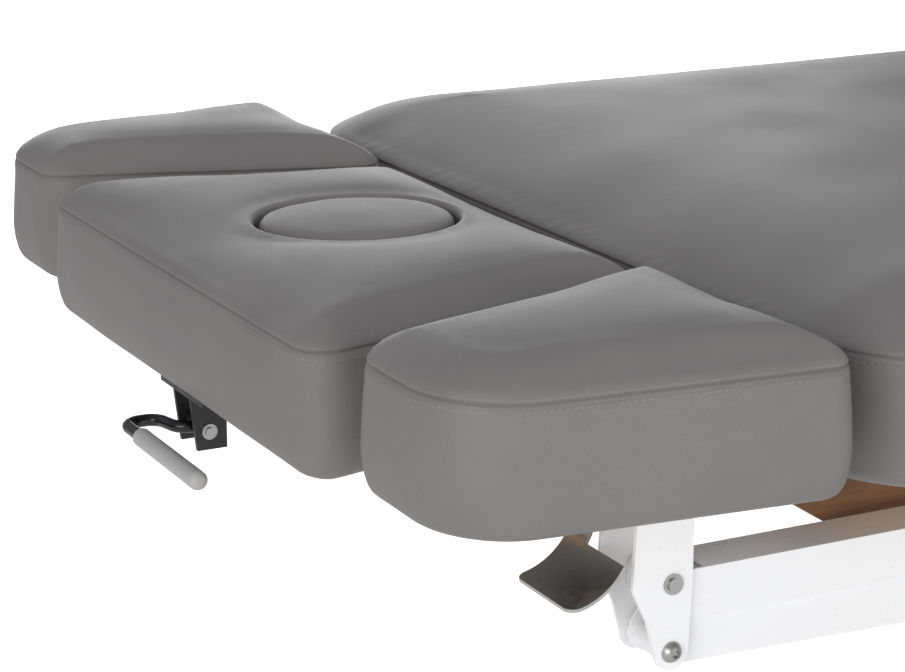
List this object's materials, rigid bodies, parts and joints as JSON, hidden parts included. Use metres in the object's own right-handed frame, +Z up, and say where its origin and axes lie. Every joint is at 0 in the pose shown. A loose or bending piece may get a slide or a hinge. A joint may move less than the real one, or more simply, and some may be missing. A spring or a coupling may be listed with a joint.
{
  "type": "spa bed with cabinet base",
  "caption": "Padded spa bed with a face section, lowering armrests, a raising backrest and leg section, on lifting columns that stand in a cabinet with doors.",
  "frame": {"origin": "on the floor, under the middle of the bed's outline", "axes": "X from the head end to the foot end, Y across the bed, Z up"},
  "size_m": [1.9388, 0.8016, 0.702],
  "materials": {
    "upholstery": "satin synthetic leather with sewn seams",
    "plywood": "raw plywood",
    "varnished_wood": "clear varnish",
    "black_steel": "black powder coat",
    "white_steel": "white powder coat",
    "zinc_steel": "zinc plated",
    "black_paint": "gloss black paint",
    "polished_steel": "polished",
    "grip_plastic": "moulded, light grey",
    "foot_rubber": "rubber feet",
    "white_columns": "white powder coat",
    "cabinet_wood": "satin varnished veneer",
    "handle_steel": "brushed",
    "black_plastic": "moulded",
    "grey_plastic": "moulded"
  },
  "bodies": {
    "base": {"cabinet_plinth": "cabinet_wood", "levelling_feet": "foot_rubber", "cabinet_floor_panel": "cabinet_wood", "cabinet_side_panels": "cabinet_wood", "cabinet_back_panel": "cabinet_wood", "cabinet_partition": "cabinet_wood", "cabinet_top_panel": "cabinet_wood", "cabinet_shelf": "cabinet_wood", "door_hinge_pins": "zinc_steel", "column_outer_tubes": "white_columns", "control_box": "grey_plastic", "power_inlet": "black_plastic"},
    "column_middle": {"column_middle_tubes": "white_columns"},
    "lift": {"column_inner_tubes": "white_columns", "lift_frame": "white_steel", "seat_board": "plywood", "seat_rails": "varnished_wood", "seat_cushion": "upholstery", "track_rollers": "zinc_steel", "leg_hinge_pins": "zinc_steel"},
    "back": {"back_board": "plywood", "back_rails": "varnished_wood", "back_cushion": "upholstery", "back_cross_tubes": "black_steel", "back_track_plates": "black_steel", "armrest_root_brackets": "black_steel"},
    "leg": {"leg_board": "plywood", "leg_rails": "varnished_wood", "leg_cushion": "upholstery", "leg_hinge_leaves": "black_steel", "leg_cross_tube": "black_steel"},
    "leg_actuator_tube": {"leg_actuator_tube": "black_paint"},
    "leg_actuator_rod": {"leg_actuator_rod": "zinc_steel"},
    "face": {"face_board": "plywood", "face_cushion": "upholstery", "face_frame": "black_steel", "face_pins": "zinc_steel"},
    "face_strut_tube": {"face_strut_tube": "black_paint"},
    "face_strut_rod": {"face_strut_rod": "zinc_steel"},
    "face_plug": {"face_plug": "upholstery"},
    "face_lever": {"face_lever": "black_paint", "face_lever_grip": "grip_plastic"},
    "head_door": {"head_door": "cabinet_wood", "head_door_handle": "handle_steel"},
    "foot_door": {"foot_door": "cabinet_wood", "foot_door_handle": "handle_steel"},
    "near_upper_link": {"near_upper_link": "white_steel"},
    "near_lower_link": {"near_lower_link": "white_steel"},
    "near_armrest": {"near_end_bracket": "white_steel", "near_end_fasteners": "zinc_steel", "near_armrest_board": "plywood", "near_armrest_cushion": "upholstery"},
    "near_paddle": {"near_paddle": "polished_steel"},
    "far_upper_link": {"far_upper_link": "white_steel"},
    "far_lower_link": {"far_lower_link": "white_steel"},
    "far_armrest": {"far_end_bracket": "white_steel", "far_end_fasteners": "zinc_steel", "far_armrest_board": "plywood", "far_armrest_cushion": "upholstery"},
    "far_paddle": {"far_paddle": "polished_steel"}
  },
  "joints": [
    {"name": "lift_slide", "type": "slide", "parent": "base", "child": "lift", "axis": [0, 0, 1], "range_m": [0, 0.25]},
    {"name": "column_middle_slide", "type": "slide", "parent": "base", "child": "column_middle", "axis": [0, 0, 1], "range_m": [0, 0.125]},
    {"name": "back_hinge", "type": "hinge", "parent": "lift", "child": "back", "pos_m": [-0.003, 0, 0.678], "axis": [0, 1, 0], "range_deg": [0, 65]},
    {"name": "leg_hinge", "type": "hinge", "parent": "lift", "child": "leg", "pos_m": [0.405, 0, 0.588], "axis": [0, 1, 0], "range_deg": [0, 30]},
    {"name": "leg_actuator_turn", "type": "hinge", "parent": "lift", "child": "leg_actuator_tube", "pos_m": [0.34393, 0, 0.52236], "axis": [0, 1, 0], "range_deg": [0, 7.9]},
    {"name": "leg_actuator_extend", "type": "slide", "parent": "leg_actuator_tube", "child": "leg_actuator_rod", "axis": [-0.9027, 0, -0.4302], "range_m": [0, 0.02]},
    {"name": "face_hinge", "type": "hinge", "parent": "back", "child": "face", "pos_m": [-0.689, 0, 0.586], "axis": [0, -1, 0], "range_deg": [0, 30]},
    {"name": "face_strut_turn", "type": "hinge", "parent": "back", "child": "face_strut_tube", "pos_m": [-0.5895, 0.075, 0.538], "axis": [0, -1, 0], "range_deg": [0, 14.8]},
    {"name": "face_strut_slide", "type": "slide", "parent": "face_strut_tube", "child": "face_strut_rod", "axis": [0.9967, 0, -0.0813], "range_m": [0, 0.0262]},
    {"name": "face_plug_lift", "type": "slide", "parent": "face", "child": "face_plug", "axis": [0, 0, 1], "range_m": [0, 0.12]},
    {"name": "face_lever_turn", "type": "hinge", "parent": "face", "child": "face_lever", "pos_m": [-0.921, 0, 0.575], "axis": [0, 1, 0], "range_deg": [0, 20], "stiffness_Nm_per_rad": 2, "springref_deg": -5.73},
    {"name": "near_armrest_swing", "type": "hinge", "parent": "back", "child": "near_upper_link", "pos_m": [-0.462, -0.29, 0.546], "axis": [0, -1, 0], "range_deg": [0, 14]},
    {"name": "near_lower_link_turn", "type": "hinge", "parent": "back", "child": "near_lower_link", "pos_m": [-0.462, -0.29, 0.505], "axis": [0, -1, 0], "range_deg": [0, 14]},
    {"name": "near_armrest_level", "type": "hinge", "parent": "near_upper_link", "child": "near_armrest", "pos_m": [-0.762, -0.29, 0.546], "axis": [0, 1, 0], "range_deg": [0, 14]},
    {"name": "near_paddle_turn", "type": "hinge", "parent": "near_armrest", "child": "near_paddle", "pos_m": [-0.792, -0.29, 0.596], "axis": [0, 1, 0], "range_deg": [0, 12], "stiffness_Nm_per_rad": 0.2, "springref_deg": -11.46},
    {"name": "far_armrest_swing", "type": "hinge", "parent": "back", "child": "far_upper_link", "pos_m": [-0.462, 0.29, 0.546], "axis": [0, -1, 0], "range_deg": [0, 14]},
    {"name": "far_lower_link_turn", "type": "hinge", "parent": "back", "child": "far_lower_link", "pos_m": [-0.462, 0.29, 0.505], "axis": [0, -1, 0], "range_deg": [0, 14]},
    {"name": "far_armrest_level", "type": "hinge", "parent": "far_upper_link", "child": "far_armrest", "pos_m": [-0.762, 0.29, 0.546], "axis": [0, 1, 0], "range_deg": [0, 14]},
    {"name": "far_paddle_turn", "type": "hinge", "parent": "far_armrest", "child": "far_paddle", "pos_m": [-0.792, 0.29, 0.596], "axis": [0, 1, 0], "range_deg": [0, 12], "stiffness_Nm_per_rad": 0.2, "springref_deg": -11.46},
    {"name": "head_door_hinge", "type": "hinge", "parent": "base", "child": "head_door", "pos_m": [0.356, -0.231, 0.215], "axis": [0, 0, -1], "range_deg": [0, 95]},
    {"name": "foot_door_hinge", "type": "hinge", "parent": "base", "child": "foot_door", "pos_m": [0.66, -0.231, 0.215], "axis": [0, 0, 1], "range_deg": [0, 95]}
  ],
  "couplings": [
    {"joint": "column_middle_slide", "follows": "lift_slide", "ratio": 0.5},
    {"joint": "leg_actuator_turn", "follows": "leg_hinge", "ratio": 0.26045},
    {"joint": "leg_actuator_extend", "follows": "leg_hinge", "m_per_rad": 0.037407},
    {"joint": "face_strut_turn", "follows": "face_hinge", "ratio": 0.49096},
    {"joint": "face_strut_slide", "follows": "face_hinge", "m_per_rad": 0.049578},
    {"joint": "near_lower_link_turn", "follows": "near_armrest_swing", "ratio": 1},
    {"joint": "near_armrest_level", "follows": "near_armrest_swing", "ratio": 1},
    {"joint": "far_lower_link_turn", "follows": "far_armrest_swing", "ratio": 1},
    {"joint": "far_armrest_level", "follows": "far_armrest_swing", "ratio": 1}
  ]
}
